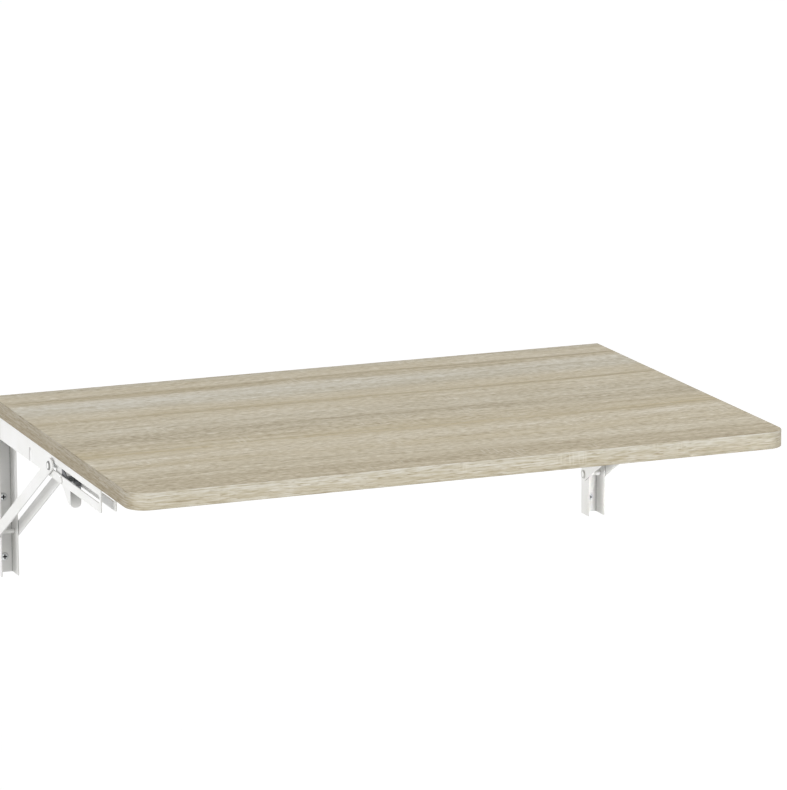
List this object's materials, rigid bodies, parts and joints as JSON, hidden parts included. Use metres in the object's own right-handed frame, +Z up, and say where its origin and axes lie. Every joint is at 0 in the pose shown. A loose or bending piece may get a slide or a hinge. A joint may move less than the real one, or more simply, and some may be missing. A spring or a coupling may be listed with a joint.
{
  "type": "wall mounted drop leaf table",
  "caption": "Oak laminate table leaf on folding steel wall brackets with braces, sliding studs and sprung release levers; folds down flat against the wall.",
  "frame": {"origin": "centre of the rectangle of wall screws, on the wall plane", "axes": "+Z up, +X to the right along the wall, +Y into the wall, so the leaf reaches forward along -Y"},
  "size_m": [0.9082, 0.6265, 0.247],
  "materials": {
    "oak_laminate": "light grey oak melamine with a fine embossed grain, satin",
    "oak_edge_band": "light grey oak edge band, satin",
    "white_powder_coat": "white powder coat, semi-matt",
    "zinc_plated_steel": "bright zinc plate",
    "spring_steel": "drawn spring wire"
  },
  "bodies": {
    "wall_brackets": {"wall_screws": "zinc_plated_steel", "left_wall_channel": "white_powder_coat", "left_hinge_pin": "white_powder_coat", "left_foot_pin": "white_powder_coat", "right_wall_channel": "white_powder_coat", "right_hinge_pin": "white_powder_coat", "right_foot_pin": "white_powder_coat"},
    "leaf": {"tabletop_panel": "oak_laminate", "front_edge_band": "oak_edge_band", "rear_edge_band": "oak_edge_band", "board_screws": "zinc_plated_steel", "left_arm_channel": "white_powder_coat", "left_lever_pin": "white_powder_coat", "left_lever_spring": "spring_steel", "right_arm_channel": "white_powder_coat", "right_lever_pin": "white_powder_coat", "right_lever_spring": "spring_steel"},
    "left_brace": {"left_brace_left_bar": "white_powder_coat", "left_brace_right_bar": "white_powder_coat", "left_brace_head_rivets": "white_powder_coat"},
    "left_slider": {"left_slide_studs": "zinc_plated_steel"},
    "left_lever": {"left_release_lever": "white_powder_coat"},
    "right_brace": {"right_brace_left_bar": "white_powder_coat", "right_brace_right_bar": "white_powder_coat", "right_brace_head_rivets": "white_powder_coat"},
    "right_slider": {"right_slide_studs": "zinc_plated_steel"},
    "right_lever": {"right_release_lever": "white_powder_coat"}
  },
  "joints": [
    {"name": "leaf_fold", "type": "hinge", "parent": "wall_brackets", "child": "leaf", "pos_m": [0, -0.02, 0.145], "axis": [1, 0, 0], "range_deg": [0, 90]},
    {"name": "left_brace_swing", "type": "hinge", "parent": "wall_brackets", "child": "left_brace", "pos_m": [-0.4375, -0.014, -0.004], "axis": [1, 0, 0], "range_deg": [0, 119.39]},
    {"name": "left_stud_slide", "type": "slide", "parent": "leaf", "child": "left_slider", "axis": [0, -1, 0], "range_m": [0, 0.19618]},
    {"name": "left_release", "type": "hinge", "parent": "leaf", "child": "left_lever", "pos_m": [-0.4375, -0.306, 0.135], "axis": [-1, 0, 0], "range_deg": [0, 55], "stiffness_Nm_per_rad": 0.12, "springref_deg": -22.92, "deforming": ["left_lever_spring"]},
    {"name": "right_brace_swing", "type": "hinge", "parent": "wall_brackets", "child": "right_brace", "pos_m": [0.4375, -0.014, -0.004], "axis": [1, 0, 0], "range_deg": [0, 119.39]},
    {"name": "right_stud_slide", "type": "slide", "parent": "leaf", "child": "right_slider", "axis": [0, -1, 0], "range_m": [0, 0.19618]},
    {"name": "right_release", "type": "hinge", "parent": "leaf", "child": "right_lever", "pos_m": [0.4375, -0.306, 0.135], "axis": [-1, 0, 0], "range_deg": [0, 55], "stiffness_Nm_per_rad": 0.12, "springref_deg": -22.92, "deforming": ["right_lever_spring"]}
  ],
  "couplings": [
    {"joint": "left_brace_swing", "follows": "leaf_fold", "ratio": 1.3266},
    {"joint": "left_stud_slide", "follows": "leaf_fold", "m_per_rad": 0.12489},
    {"joint": "right_brace_swing", "follows": "leaf_fold", "ratio": 1.3266},
    {"joint": "right_stud_slide", "follows": "leaf_fold", "m_per_rad": 0.12489}
  ]
}
